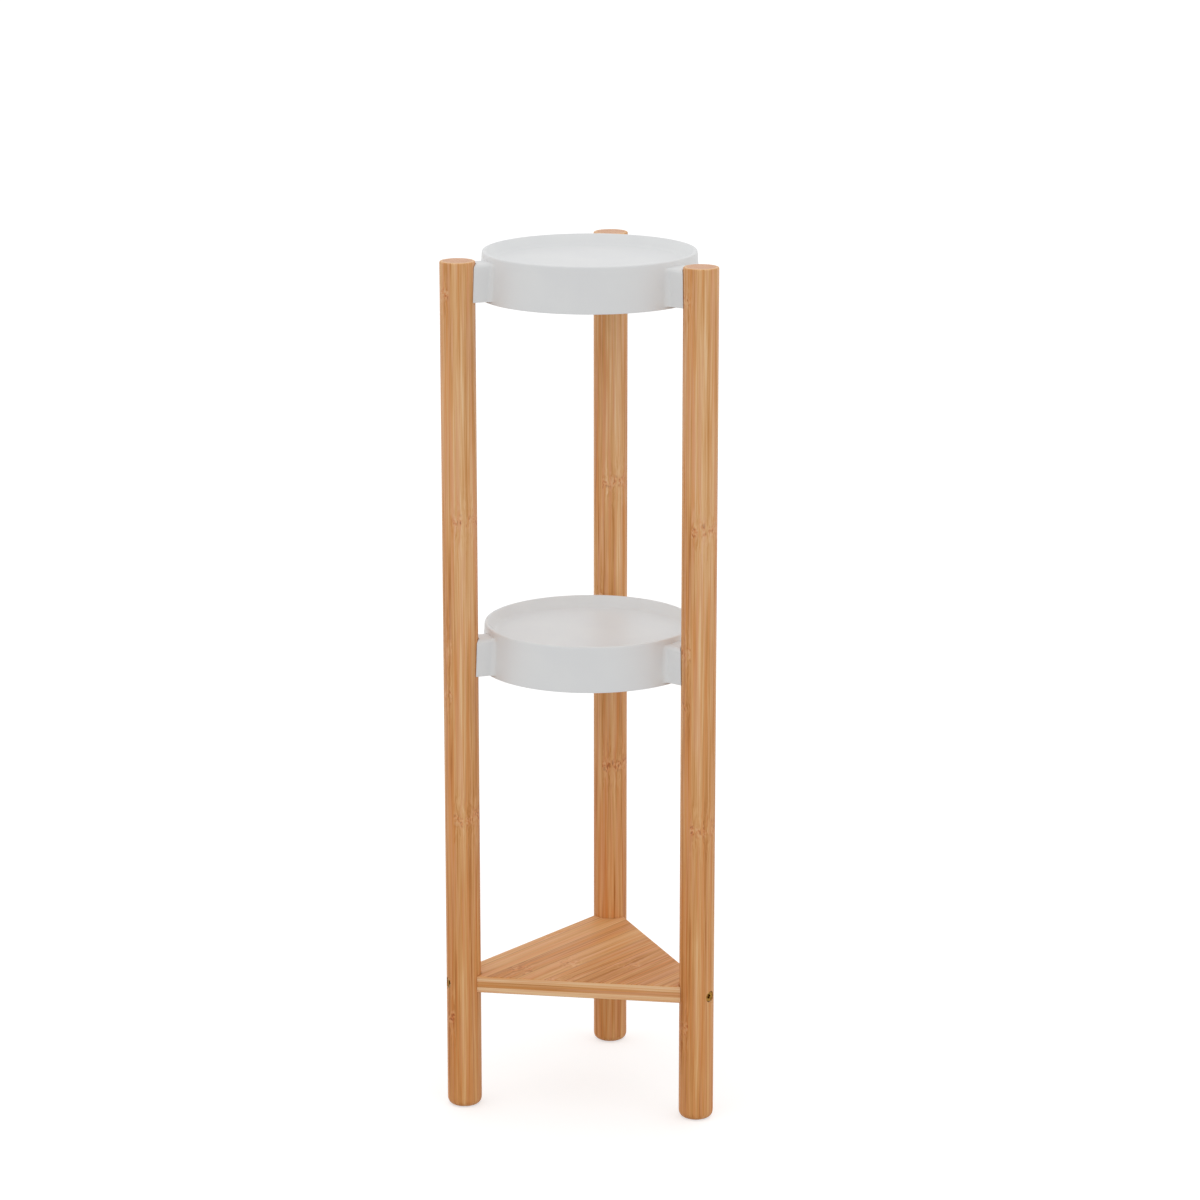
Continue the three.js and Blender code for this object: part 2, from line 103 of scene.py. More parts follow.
LUG_FILLET_GROWTH = 2.5  # how much larger that fillet is at the bottom edge
LUG_TIP = 0.4  # flat on the tips that reach round the leg
LUG_END_WALL = 5
RIB_COUNT = 12
RIB_THICKNESS = 1.8
RIB_DEPTH = 6
RIB_RING_RADIUS = 30
SHELF_OVERHANG = 7.7  # line between two leg axes to the board's edge
SHELF_EDGE_ROUND = 1
BOLT_RADIUS = 3
BOLT_LENGTH = 50
BOLT_PAST_NUT = 7  # nut's axis to the bolt's tip
BOLT_HEAD_RADIUS = 4.7
BOLT_HEAD_HEIGHT = 4
BOLT_HEAD_SINK = 1.2  # leg surface to the face of the head
BOLT_HEAD_EDGE = 0.6
BOLT_SOCKET = 4  # across the flats
BOLT_SOCKET_DEPTH = 2.5
NUT_RADIUS = 5
NUT_COVER = 2.5  # end of a nut to the nearer face of the shelf
NUT_EDGE = 0.5
SCREW_RADIUS = 3
SCREW_LENGTH = 16
SCREW_HEAD_RADIUS = 5.25
SCREW_HEAD_HEIGHT = 3.3
SCREW_HEAD_ROUND = 2.6
SCREW_SOCKET = 4
SCREW_SOCKET_DEPTH = 2
SCREW_DROP = 15  # rim to the screw's axis, just under the dish floor
DRIVER_GAP = 1  # round a screw's head, in the hole that it is driven through
INSERT_WALL = 1.4
INSERT_LENGTH = 10
INSERT_SINK = 1  # leg surface to the mouth of the insert
INSERT_FLANGE = 1.2  # thickness of the flange
INSERT_FLANGE_STEP = 0.7  # how far the flange stands out

# Finer than the CAD source
THREAD_PITCH = 1
THREAD_DEPTH = 0.5
BOLT_THREAD = 24  # length of the thread, from the tip
SCREW_THREAD = 15
BOLT_HEAD_RIM = 1.1
BOLT_HEAD_DIP = 0.35  # how far the face falls from the rim to the socket
INSERT_GROOVE = 0.5
SEAT_EDGE = 0.35  # round on the edges of a seat
SOCKET_EDGE = 0.25  # chamfer at the mouth of a hex socket
POCKET_ROUND = 1.5  # reach of the rounds in a lug's pocket and under the dish
RIB_DRAFT = 0.3  # how much thinner a rib is at its free edge, on each side
NUT_SLOT = 1.2  # screwdriver slot that turns a barrel nut in line with its bolt
NUT_SLOT_DEPTH = 0.8
OVERCUT = 2  # how far a cutting tool reaches past a surface

# Places that follow from the sizes above
SEAT_RADIUS = LEG_RADIUS + GAP
DISH_RIM_RADIUS = TRAY_RADIUS - RIM_ROUND - RIM_LAND
DISH_FLOOR_RADIUS = DISH_RIM_RADIUS - DISH_LIP - DISH_WALL_RUN
DISH_HUB_RADIUS = DISH_FLOOR_RADIUS / 10  # the innermost ring of points
DISH_SLOPE = DISH_WALL_RUN / DISH_DEPTH
CEILING = -DISH_DEPTH - TRAY_WALL
RIB_HIGH = CEILING + TRAY_WALL / 2  # where a rib ends inside the ceiling
RIB_LOW = CEILING - RIB_DEPTH
SHELF_EDGE_RUN = 150  # degrees from a corner's direction to the two edges that leave it
BOLT_SEAT = LEG_RADIUS - BOLT_HEAD_SINK - BOLT_HEAD_HEIGHT
BOLT_TIP = LEG_CIRCLE + BOLT_SEAT - BOLT_LENGTH
BOLT_HOLE_RADIUS = BOLT_RADIUS + GAP
NUT_REACH = BOLT_TIP + BOLT_PAST_NUT
NUT_LENGTH = SHELF_TOP - SHELF_BOTTOM - 2 * NUT_COVER
POCKET_END = TRAY_RADIUS + LUG_LENGTH - LUG_END_WALL
SCREW_SEAT = POCKET_END - GAP
SCREW_HOLE_RADIUS = SCREW_RADIUS + GAP
INSERT_RADIUS = SCREW_HOLE_RADIUS + INSERT_WALL
INSERT_FLANGE_RADIUS = INSERT_RADIUS + INSERT_FLANGE_STEP
INSERT_MOUTH = LEG_CIRCLE - LEG_RADIUS + INSERT_SINK
INSERT_HOLE_END = max(INSERT_MOUTH + INSERT_LENGTH, SCREW_SEAT + SCREW_LENGTH) + GAP

# Fineness of the meshes
LEG_SIDES = 96
SMALL_SIDES = 48
ROUND_STEPS = 6
LEG_ROUND_STEPS = 10
THREAD_STEPS = 6  # rings in each turn of a thread
SEAT_STEPS = 16
FILLET_STEPS = 8
SKIRT_STEPS = 48
WALL_STEPS = 6
SHARP = math.radians(35)

# ---- Camera, at the photograph's viewing angle but without its lens shift ----

CAMERA_DISTANCE = 3.2  # level distance to the stand's axis, in metres
CAMERA_HEIGHT = 1.26019
CAMERA_AZIMUTH = 8.914  # degrees to the right of the front
CAMERA_YAW = -0.156
CAMERA_PITCH = 14.264
CAMERA_LENS = 114.437
CAMERA_SENSOR = 36


def make_camera():
    data = bpy.data.cameras.new("camera")
    data.sensor_width = CAMERA_SENSOR
    data.lens = CAMERA_LENS
    azimuth = math.radians(CAMERA_AZIMUTH)
    heading = math.radians(CAMERA_AZIMUTH + CAMERA_YAW)
    pitch = math.radians(CAMERA_PITCH)
    camera = bpy.data.objects.new("camera", data)
    across = CAMERA_DISTANCE * math.sin(azimuth)
    back = CAMERA_DISTANCE * math.cos(azimuth)
    camera.location = (AXIS.x * MM + across, AXIS.y * MM - back, CAMERA_HEIGHT)
    level = math.cos(pitch)
    ahead = Vector((-math.sin(heading) * level, math.cos(heading) * level, -math.sin(pitch)))
    camera.rotation_euler = ahead.to_track_quat("-Z", "Y").to_euler()
    bpy.context.scene.collection.objects.link(camera)
    bpy.context.scene.camera = camera
    bpy.context.scene.view_settings.view_transform = "Standard"


# ---- Outlines and profiles ----


def rounded(corners, steps=ROUND_STEPS):
    """A line through corners (x, y) or (x, y, reach). A reach rounds its corner over that length."""
    points = [Vector(corner[:2]) for corner in corners]
    line = []
    for i, corner in enumerate(corners):
        if len(corner) == 2:
            line.append(points[i])
            continue
        towards = [(points[j] - points[i]).normalized() for j in (i - 1, i + 1)]
        start, end = (points[i] + direction * corner[2] for direction in towards)
        for step in range(steps + 1):
            t = step / steps
            line.append(start.lerp(points[i], t).lerp(points[i].lerp(end, t), t))
    return line


def arc(centre, radius, start, end, steps):
    """Points on an arc, from one turn to another in radians."""
    turns = [start + (end - start) * i / steps for i in range(steps + 1)]
    return [Vector(centre) + Vector((math.cos(turn), math.sin(turn))) * radius for turn in turns]


def turned(points, degrees):
    turn = Matrix.Rotation(math.radians(degrees), 2)
    return [turn @ point for point in points]


def repeat_round(points):
    """An outline made of the stretch round +X, repeated round each leg's direction."""
    return [point for angle in LEG_ANGLES.values() for point in turned(points, angle)]


def raised(points, z):
    return [Vector((x, y, z)) for x, y in points]


def circle(radius, z, sides=SMALL_SIDES):
    return raised(arc((0, 0), radius, 0, math.tau, sides)[:-1], z)


def facing(degrees):
    """A turn round the Z axis."""
    return Matrix.Rotation(math.radians(degrees), 4, "Z")


OUTWARDS = Matrix.Rotation(math.pi / 2, 4, "Y")  # lays local Z along X
INWARDS = Matrix.Rotation(-math.pi / 2, 4, "Y")


# ---- Meshes ----


def tube(rings, loop=False):
    """A closed mesh through rings of equally many points. Its ends are capped, or meet if it is a loop."""
    bm = bmesh.new()
    made = [[bm.verts.new(point * MM) for point in ring] for ring in rings]
    pairs = list(zip(made, made[1:]))
    if loop:
        pairs.append((made[-1], made[0]))
    else:
        bm.faces.new(made[0])
        bm.faces.new(made[-1])
    for low, high in pairs:
        for i in range(len(low)):
            j = (i + 1) % len(low)
            bm.faces.new((low[i], low[j], high[j], high[i]))
    bmesh.ops.remove_doubles(bm, verts=bm.verts, dist=MERGE)
    return bm


def lathe(profile, sides=SMALL_SIDES, loop=False):
    """A profile of (radius, height) points turned round the Z axis. Caps stand in for those on the axis."""
    return tube([circle(r, z, sides) for r, z in profile if r > 0], loop)


def link(name, bm, matrix=Matrix()):
    """An object made of a mesh, with its faces pointing out."""
    bmesh.ops.recalc_face_normals(bm, faces=bm.faces)
    mesh = bpy.data.meshes.new(name)
    bm.to_mesh(mesh)
    bm.free()
    obj = bpy.data.objects.new(name, mesh)
    obj.matrix_world = matrix
    bpy.context.scene.collection.objects.link(obj)
    return obj


def combine(obj, tools, operation="DIFFERENCE"):
    """Cuts the tools out of an object, or joins them to it, and removes them."""
    for tool in tools:
        modifier = obj.modifiers.new("combine", "BOOLEAN")
        modifier.operation = operation
        modifier.solver = "EXACT"
        modifier.object = tool
    bpy.context.view_layer.update()
    evaluated = obj.evaluated_get(bpy.context.evaluated_depsgraph_get())
    mesh = bpy.data.meshes.new_from_object(evaluated)
    obj.modifiers.clear()
    obj.data = mesh
    for tool in tools:
        bpy.data.objects.remove(tool)


def radial_bar(radius, start, end, height=0, degrees=0):
    """A round bar that points away from the local Z axis, to cut a hole with."""
    place = facing(degrees) @ Matrix.Translation((0, 0, height * MM))
    return link("tool", lathe([(radius, start), (radius, end)]), place @ OUTWARDS)


def dress(obj, name, material, matrix):
    """Names a finished mesh, makes it smooth with sharp edges, and stands it in for its CAD node."""
    bm = bmesh.new()
    bm.from_mesh(obj.data)
    bmesh.ops.remove_doubles(bm, verts=bm.verts, dist=MERGE)
    for face in bm.faces:
        face.smooth = True
    for edge in bm.edges:
        edge.smooth = edge.calc_face_angle(0) < SHARP
    bm.to_mesh(obj.data)
    bm.free()
    obj.name = name
    obj.data.name = name
    obj.data.materials.clear()
    obj.data.materials.append(material)
    obj.modifiers.new("normals", "WEIGHTED_NORMAL").keep_sharp = True
    obj.matrix_world = matrix
    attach(obj, "root")
    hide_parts(name)


def copy_of(obj):
    copy = obj.copy()
    copy.data = obj.data.copy()
    bpy.context.scene.collection.objects.link(copy)
    return copy


def on_axis(z=0):
    """Place on the stand's axis."""
    return Matrix.Translation((AXIS.x * MM, AXIS.y * MM, z * MM))


def out_from_axis(side, reach, z):
    """Place towards a leg, with local X pointing away from the stand's axis."""
    return on_axis(z) @ facing(LEG_ANGLES[side]) @ Matrix.Translation((reach * MM, 0, 0))


# ---- Legs ----


def leg_mesh():
    """A leg on its own axis, with the stand's axis towards -X."""
    screws = [rim - SCREW_DROP for rim in RIMS.values()]
    # Belts above and below each hole, so that it cuts only short faces.
    band = BOLT_HEAD_RADIUS * 2
    belts = sorted(height + side for height in (SHELF_MIDDLE, *screws) for side in (-band, band))
    corners = [(0, 0), (LEG_RADIUS, 0, FOOT_ROUND)]
    corners += [(LEG_RADIUS, height) for height in belts if height < LEG_HEIGHT - band]
    corners += [(LEG_RADIUS, LEG_HEIGHT, TOP_ROUND), (0, LEG_HEIGHT)]
    leg = link("leg", lathe(rounded(corners, LEG_ROUND_STEPS), LEG_SIDES))
    past = LEG_RADIUS + OVERCUT
    holes = [
        radial_bar(BOLT_HOLE_RADIUS, -past, past, SHELF_MIDDLE),
        radial_bar(BOLT_HEAD_RADIUS + GAP, BOLT_SEAT - GAP, past, SHELF_MIDDLE),
    ]
    flange_end = INSERT_MOUTH + INSERT_FLANGE + GAP - LEG_CIRCLE
    for height in screws:
        holes.append(radial_bar(INSERT_RADIUS + GAP, -past, INSERT_HOLE_END - LEG_CIRCLE, height))
        holes.append(radial_bar(INSERT_FLANGE_RADIUS + GAP, -past, flange_end, height))
    combine(leg, holes)
    return leg


# ---- Trays, with the rim at height 0 ----


def tray_radius_at(z):
    return TRAY_RADIUS - TRAY_FLARE * z / TRAY_HEIGHT


def lug_half_width_at(z):
    return LEG_RADIUS - LUG_SHY - LUG_FLARE * z / TRAY_HEIGHT


def seat_end(half, round_off):
    """The hollow end of a lug, which reaches round the leg with two narrow tips."""
    seat = SEAT_RADIUS + round_off
    spread = math.asin((half - LUG_TIP) / seat)
    hollow = arc((LEG_CIRCLE, 0), seat, math.pi + spread, math.pi - spread, SEAT_STEPS)
    reach = hollow[0].x
    return [Vector((reach, -half)), *hollow, Vector((reach, half))]


def lug_outline(z, inset=0, round_off=0):
    """The outline round skirt and lugs at a height: a lug and the skirt up to the next, repeated.

    Each side of a lug is drawn in by an inset, and its hollow end by a round.
    """
    radius = tray_radius_at(z)
    half = lug_half_width_at(z) - inset
    fillet = LUG_FILLET - LUG_FILLET_GROWTH * z / TRAY_HEIGHT
    run = math.sqrt((radius + fillet) ** 2 - (half + fillet) ** 2)
    meet = math.atan2(half + fillet, run)
    side = arc((run, half + fillet), fillet, -math.pi / 2, meet - math.pi, FILLET_STEPS)
    mirrored = [Vector((x, -y)) for x, y in reversed(side)]
    third = math.tau / len(LEG_ANGLES)
    skirt = arc((0, 0), radius, meet, third - meet, SKIRT_STEPS)[1:-1]
    return repeat_round([*mirrored, *seat_end(half, round_off), *side, *skirt])


def dish_back_at(z):
    """Radius of the underside of the sloping dish wall at a height."""
    return DISH_FLOOR_RADIUS + (z + DISH_DEPTH) * DISH_SLOPE + TRAY_WALL * math.hypot(1, DISH_SLOPE)


def round_rings(outline, profile):
    """Round rings of a (radius, height) profile, with a point in the direction of each of an outline's."""
    return [raised([point.normalized() * radius for point in outline], z) for radius, z in profile]


def lug_rings(high, low):
    """The rings of the lugs with the skirt between them, from their rounded tops down."""
    rings = []
    quarter = [math.pi / 2 * step / ROUND_STEPS for step in range(ROUND_STEPS + 1)]
    for turn in reversed(quarter):
        z = high - LUG_ROUND * (1 - math.sin(turn))
        shy = 1 - math.cos(turn)
        rings.append(raised(lug_outline(z, LUG_ROUND * shy, SEAT_EDGE * shy), z))
    wall = low + EDGE_ROUND - z
    for step in range(1, WALL_STEPS):
        level = z + wall * step / WALL_STEPS
        rings.append(raised(lug_outline(level), level))
    for turn in quarter:
        level = low + EDGE_ROUND * (1 - math.sin(turn))
        shy = 1 - math.cos(turn)
        rings.append(raised(lug_outline(level, EDGE_ROUND * shy, SEAT_EDGE * shy), level))
    return rings


def tray_rings():
    """The rings of a tray, from the middle of the dish over the rim and up into the hollow below."""
    high = -LUG_DROP
    low = LUG_RISE - TRAY_HEIGHT
    dish = rounded(
        [
            (DISH_HUB_RADIUS, -DISH_DEPTH),
            (DISH_FLOOR_RADIUS, -DISH_DEPTH, DISH_COVE),
            (DISH_RIM_RADIUS - DISH_LIP, 0, DISH_LIP),
            (TRAY_RADIUS, 0, RIM_ROUND),
            (tray_radius_at(high), high),
        ]
    )
    foot = tray_radius_at(-TRAY_HEIGHT)
    hollow = rounded(
        [
            (tray_radius_at(low), low),
            (foot, -TRAY_HEIGHT, EDGE_ROUND),
            (foot - TRAY_WALL, -TRAY_HEIGHT, EDGE_ROUND),
            (tray_radius_at(-COVE_TOP) - TRAY_WALL, -COVE_TOP),
            (dish_back_at(-COVE_TOP), -COVE_TOP),
            (dish_back_at(CEILING), CEILING, POCKET_ROUND),
            (DISH_HUB_RADIUS, CEILING),
        ]
    )
    above = round_rings(lug_outline(high, LUG_ROUND, SEAT_EDGE), dish)
    below = round_rings(lug_outline(low, EDGE_ROUND, SEAT_EDGE), hollow)
    return [*above, *lug_rings(high, low), *below]


def rib_bar(start, end, degrees):
    """A rib that hangs from the ceiling, thinner at its free edge."""
    half = RIB_THICKNESS / 2
    edge = half - RIB_DRAFT
    section = [(half, RIB_HIGH), (edge, RIB_LOW), (-edge, RIB_LOW), (-half, RIB_HIGH)]
    ends = [[Vector((x, y, z)) for y, z in section] for x in (start, end)]
    return link("tool", tube(ends), facing(degrees))


def rib_ring():
    inner = RIB_RING_RADIUS
    outer = RIB_RING_RADIUS + RIB_THICKNESS
    free_edge = [(outer - RIB_DRAFT, RIB_LOW), (inner + RIB_DRAFT, RIB_LOW)]
    return link("tool", lathe([(inner, RIB_HIGH), (outer, RIB_HIGH), *free_edge], LEG_SIDES, loop=True))


def lug_pocket(degrees):
    """The pocket that hollows a lug from below, between the skirt and the lug's end wall."""
    near = tray_radius_at(-TRAY_HEIGHT)
    rings = []
    for z in (-TRAY_HEIGHT - OVERCUT, -LUG_DROP - TRAY_WALL):
        half = lug_half_width_at(z) - TRAY_WALL
        far = [(POCKET_END, side, POCKET_ROUND) for side in (-half, half)]
        rings.append(raised(rounded([(near, -half), *far, (near, half)]), z))
    return link("tool", tube(rings), facing(degrees))


def tray_mesh():
    tray = link("tray", tube(tray_rings()))
    end = tray_radius_at(CEILING) - TRAY_WALL / 2
    step = 360 / RIB_COUNT
    ring = RIB_RING_RADIUS + RIB_THICKNESS / 2
    bars = [rib_bar(ring, end, LEG_ANGLES["rear"] + (i + 0.5) * step) for i in range(RIB_COUNT)]
    combine(tray, [rib_ring(), *bars], "UNION")
    driver = SCREW_HEAD_RADIUS + DRIVER_GAP
    driver_start = dish_back_at(driver - SCREW_DROP) + GAP
    holes = []
    for angle in LEG_ANGLES.values():
        holes.append(lug_pocket(angle))
        holes.append(radial_bar(driver, driver_start, POCKET_END, -SCREW_DROP, angle))
        start = POCKET_END - OVERCUT
        holes.append(radial_bar(SCREW_HOLE_RADIUS, start, LEG_CIRCLE, -SCREW_DROP, angle))
    combine(tray, holes)
    return tray


# ---- Shelf ----


def shelf_outline(inset):
    """A triangle with its corners hollowed round the legs, drawn in by an inset."""
    seat = SEAT_RADIUS + SEAT_EDGE * inset / SHELF_EDGE_ROUND
    corner = math.radians(SHELF_EDGE_RUN) - math.asin((SHELF_OVERHANG - inset) / seat)
    hollow = arc((LEG_CIRCLE, 0), seat, math.tau - corner, corner, SEAT_STEPS * 2)
    return repeat_round(hollow)


def shelf_mesh():
    rings = []
    for step in range(ROUND_STEPS + 1):
        turn = math.pi / 2 * step / ROUND_STEPS
        shy = SHELF_EDGE_ROUND * (1 - math.sin(turn))
        rise = SHELF_EDGE_ROUND * (1 - math.cos(turn))
        rings.append((SHELF_BOTTOM + rise, shy))
        rings.append((SHELF_TOP - rise, shy))
    rings.sort()
    shelf = link("shelf", tube([raised(shelf_outline(inset), z) for z, inset in rings]))
    heights = (SHELF_BOTTOM - OVERCUT, SHELF_TOP - NUT_COVER + GAP)
    nut_hole = [(NUT_RADIUS + GAP, z) for z in heights]
    holes = []
    for angle in LEG_ANGLES.values():
        holes.append(radial_bar(BOLT_HOLE_RADIUS, BOLT_TIP - OVERCUT, LEG_CIRCLE, SHELF_MIDDLE, angle))
        place = facing(angle) @ Matrix.Translation((NUT_REACH * MM, 0, 0))
        holes.append(link("tool", lathe(nut_hole), place))
    combine(shelf, holes)
    return shelf


# ---- Fasteners, with the head's underside at the origin and the head towards +Z ----


def hexagon(across_flats, z):
    """A hexagon with as many points as a small circle."""
    ring = []
    for i in range(SMALL_SIDES):
        turn = math.tau * i / SMALL_SIDES
        off_flat = (turn + math.pi / 6) % (math.pi / 3) - math.pi / 6
        reach = across_flats / 2 / math.cos(off_flat)
        ring.append(Vector((math.cos(turn) * reach, math.sin(turn) * reach, z)))
    return ring


def thread_rings(radius, low, high):
    """A right-hand thread: rings whose radius rises and falls along a helix, and fades at both ends."""
    count = round((high - low) / THREAD_PITCH * THREAD_STEPS)
    rings = []
    for k in range(count + 1):
        z = low + (high - low) * k / count
        fade = min(1, (z - low) / THREAD_PITCH, (high - z) / THREAD_PITCH)
        ring = []
        for i in range(SMALL_SIDES):
            share = i / SMALL_SIDES
            wave = abs(2 * ((z / THREAD_PITCH - share) % 1) - 1)
            reach = radius - THREAD_DEPTH * fade * wave
            turn = math.tau * share
            ring.append(Vector((math.cos(turn) * reach, math.sin(turn) * reach, z)))
        rings.append(ring)
    return rings


def socket_screw(name, radius, length, threaded, head, socket, socket_depth):
    """A bolt: a pointed shank with its thread, a head of given profile, and a hex socket in its face."""
    face = head[-1][1]
    rings = [circle(radius - THREAD_DEPTH * 1.5, -length)]
    rings.append(circle(radius - THREAD_DEPTH, -length + THREAD_DEPTH))
    rings += thread_rings(radius, -length + THREAD_PITCH, -length + threaded)
    rings += [circle(r, z) for r, z in [(radius, 0), *head[:-1]]]
    rings.append(hexagon(socket + 2 * SOCKET_EDGE, face))
    rings.append(hexagon(socket, face - SOCKET_EDGE))
    rings.append(hexagon(socket, face - socket_depth))
    rings.append(circle(socket / 4, face - socket_depth - socket / 8))
    return link(name, tube(rings))


def shelf_bolt_mesh():
    """A flat head whose face dips a little from its rim to its socket."""
    rim = BOLT_HEAD_RADIUS - BOLT_HEAD_RIM
    face = BOLT_HEAD_HEIGHT - BOLT_HEAD_DIP
    corners = [
        (BOLT_HEAD_RADIUS, 0),
        (BOLT_HEAD_RADIUS, BOLT_HEAD_HEIGHT, BOLT_HEAD_EDGE),
        (rim, BOLT_HEAD_HEIGHT, BOLT_HEAD_EDGE / 2),
        (rim - BOLT_HEAD_DIP, face),
        (0, face),
    ]
    head = rounded(corners)
    depth = BOLT_SOCKET_DEPTH - BOLT_HEAD_DIP
    return socket_screw("shelf_bolt", BOLT_RADIUS, BOLT_LENGTH, BOLT_THREAD, head, BOLT_SOCKET, depth)


def tray_screw_mesh():
    """A button head."""
    corners = [
        (SCREW_HEAD_RADIUS, 0),
        (SCREW_HEAD_RADIUS, SCREW_HEAD_HEIGHT, SCREW_HEAD_ROUND),
        (0, SCREW_HEAD_HEIGHT),
    ]
    head = rounded(corners)
    depth = SCREW_SOCKET_DEPTH
    return socket_screw("tray_screw", SCREW_RADIUS, SCREW_LENGTH, SCREW_THREAD, head, SCREW_SOCKET, depth)


def insert_mesh():
    """A flanged sleeve with grooves that grip the wood, its mouth at the origin."""
    profile = [(INSERT_FLANGE_RADIUS, 0), (INSERT_FLANGE_RADIUS, INSERT_FLANGE)]
    valley = INSERT_RADIUS - INSERT_GROOVE
    z = INSERT_FLANGE
    while z + 2 * INSERT_GROOVE < INSERT_LENGTH:
        crest = z + INSERT_GROOVE
        profile += [(valley, z), (INSERT_RADIUS, crest), (INSERT_RADIUS, crest + INSERT_GROOVE / 2)]
        z += 2 * INSERT_GROOVE
    profile += [(valley, INSERT_LENGTH), (SCREW_HOLE_RADIUS, INSERT_LENGTH)]
    profile += [(SCREW_HOLE_RADIUS, INSERT_GROOVE), (SCREW_HOLE_RADIUS + INSERT_GROOVE, 0)]
    return link("leg_insert", lathe(profile, loop=True))


def barrel_nut_mesh():
    """A short round bar with a cross hole for its bolt, and a screwdriver slot in its lower end."""
    half = NUT_LENGTH / 2
    corners = [(0, -half), (NUT_RADIUS, -half, NUT_EDGE), (NUT_RADIUS, half, NUT_EDGE), (0, half)]
    nut = link("barrel_nut", lathe(rounded(corners)))
    past = NUT_RADIUS + OVERCUT
    side = NUT_SLOT / 2
    outline = [(-past, -side), (past, -side), (past, side), (-past, side)]
    slot = tube([raised(outline, z) for z in (-half - OVERCUT, NUT_SLOT_DEPTH - half)])
    combine(nut, [radial_bar(BOLT_HOLE_RADIUS, -past, past), link("tool", slot)])
    return nut


# ---- Materials ----


def srgb(red, green, blue):
    """A colour written as 0 to 255, as the shaders take it."""
    shares = [channel / 255 for channel in (red, green, blue)]
    linear = [s / 12.92 if s <= 0.04045 else ((s + 0.055) / 1.055) ** 2.4 for s in shares]
    return (*linear, 1)


def grey(level):
    return (level, level, level, 1)


class Finish:
    """A node material, with short calls that add a node and return its output."""

    def __init__(self, name, **settings):
        self.material = bpy.data.materials.new(name)
        self.material.use_nodes = True
        self.tree = self.material.node_tree
        self.surface = self.tree.nodes["Principled BSDF"]
        self.give(**settings)

    def give(self, **settings):
        """Sets inputs of the surface, with _ for each space in their names."""
        for key, value in settings.items():
            self.put(value, self.surface.inputs[key.replace("_", " ")])

    def put(self, value, socket):
        if isinstance(value, bpy.types.NodeSocket):
            self.tree.links.new(value, socket)
        else:
            socket.default_value = value

    def add(self, kind, inputs, output=0, **options):
        node = self.tree.nodes.new("ShaderNode" + kind)
        for key, value in options.items():
            setattr(node, key, value)
        for key, value in inputs.items():
            self.put(value, node.inputs[key])
        return node.outputs[output]

    def math(self, operation, a, b=0.0):
        return self.add("Math", {0: a, 1: b}, operation=operation)

    def swing(self, value, amount):
        """Turns a value from 0 to 1 into one that swings round 0, by the amount from end to end."""
        return self.math("MULTIPLY", self.math("SUBTRACT", value, 0.5), amount)

    def blend(self, factor, a, b, mode="MIX"):
        return self.add("Mix", {0: factor, 6: a, 7: b}, 2, data_type="RGBA", blend_type=mode)

    def between(self, value, low, high, to_low=0.0, to_high=1.0):
        """Maps low…high to to_low…to_high with a soft start and end."""
        inputs = {"Value": value, "From Min": low, "From Max": high, "To Min": to_low, "To Max": to_high}
        return self.add("MapRange", inputs, interpolation_type="SMOOTHSTEP")

    def ramp(self, value, stops, interpolation="LINEAR"):
        """Colours at positions 0 to 1."""
        output = self.add("ValToRGB", {"Fac": value})
        ramp = output.node.color_ramp
        ramp.interpolation = interpolation
        while len(ramp.elements) < len(stops):
            ramp.elements.new(0.5)
        for element, (position, colour) in zip(ramp.elements, sorted(stops)):
            element.position = position
            element.color = colour
        return output

    def noise(self, vector, waves, detail=2.0, output="Fac"):
        """Noise with so many waves to the millimetre along each axis."""
        scaled = self.add("VectorMath", {0: vector, 1: waves}, operation="MULTIPLY")
        return self.add("TexNoise", {"Vector": scaled, "Scale": 1.0, "Detail": detail}, output)

    def speckle(self, value):
        """A random value for each whole number."""
        return self.add("TexWhiteNoise", {"W": value}, "Value", noise_dimensions="1D")

    def position(self, degrees=0.0):
        """The point on the object in millimetres, turned round Z."""
        point = self.add("TexCoord", {}, "Object")
        scaled = self.add("VectorMath", {0: point, "Scale": 1 / MM}, operation="SCALE")
        inputs = {"Vector": scaled, "Angle": math.radians(degrees)}
        return self.add("VectorRotate", inputs, rotation_type="Z_AXIS")

    def normal(self):
        """X, Y and Z of the direction that the surface faces."""
        return self.split(self.add("TexCoord", {}, "Normal"))

    def split(self, vector):
        return self.add("SeparateXYZ", {"Vector": vector}).node.outputs

    def combine(self, x, y, z):
        return self.add("CombineXYZ", {"X": x, "Y": y, "Z": z})

    def radius(self, x, y):
        """Distance from the object's Z axis."""
        return self.add("VectorMath", {0: self.combine(x, y, 0.0)}, "Value", operation="LENGTH")

    def bump(self, height, depth_mm, strength):
        inputs = {"Height": height, "Distance": depth_mm * MM, "Strength": strength}
        self.give(Normal=self.add("Bump", inputs))


NOISE_LOW, NOISE_HIGH = 0.3, 0.7  # most of a noise lies between these

# ---- Bamboo ----

BAMBOO = [
    (0.0, srgb(184, 116, 56)),
    (0.3, srgb(212, 151, 90)),
    (0.55, srgb(226, 173, 117)),
    (0.8, srgb(236, 188, 136)),
    (1.0, srgb(243, 204, 158)),
]
BROAD_STREAKS = (0.22, 0.22, 0.005)  # waves to the millimetre, here and below
FINE_STREAKS = [((0.8, 0.8, 0.011), 0.9), ((2.2, 2.2, 0.03), 0.45)]  # waves, then weight
STRAND_WAVES = (0.4, 0.4, 0.008)
ORANGE_STRAND = srgb(222, 144, 78)
ROSY_STRAND = srgb(230, 172, 134)

KNUCKLE_TONES = [
    (0.36, srgb(142, 66, 36)),
    (0.42, srgb(208, 112, 62)),
    (0.5, srgb(226, 158, 104)),
    (0.58, srgb(240, 194, 150)),
]
FLECK_WAVES = (0.5, 0.5, 0.3)
PATCH_WAVES = (0.2, 0.2, 0.06)


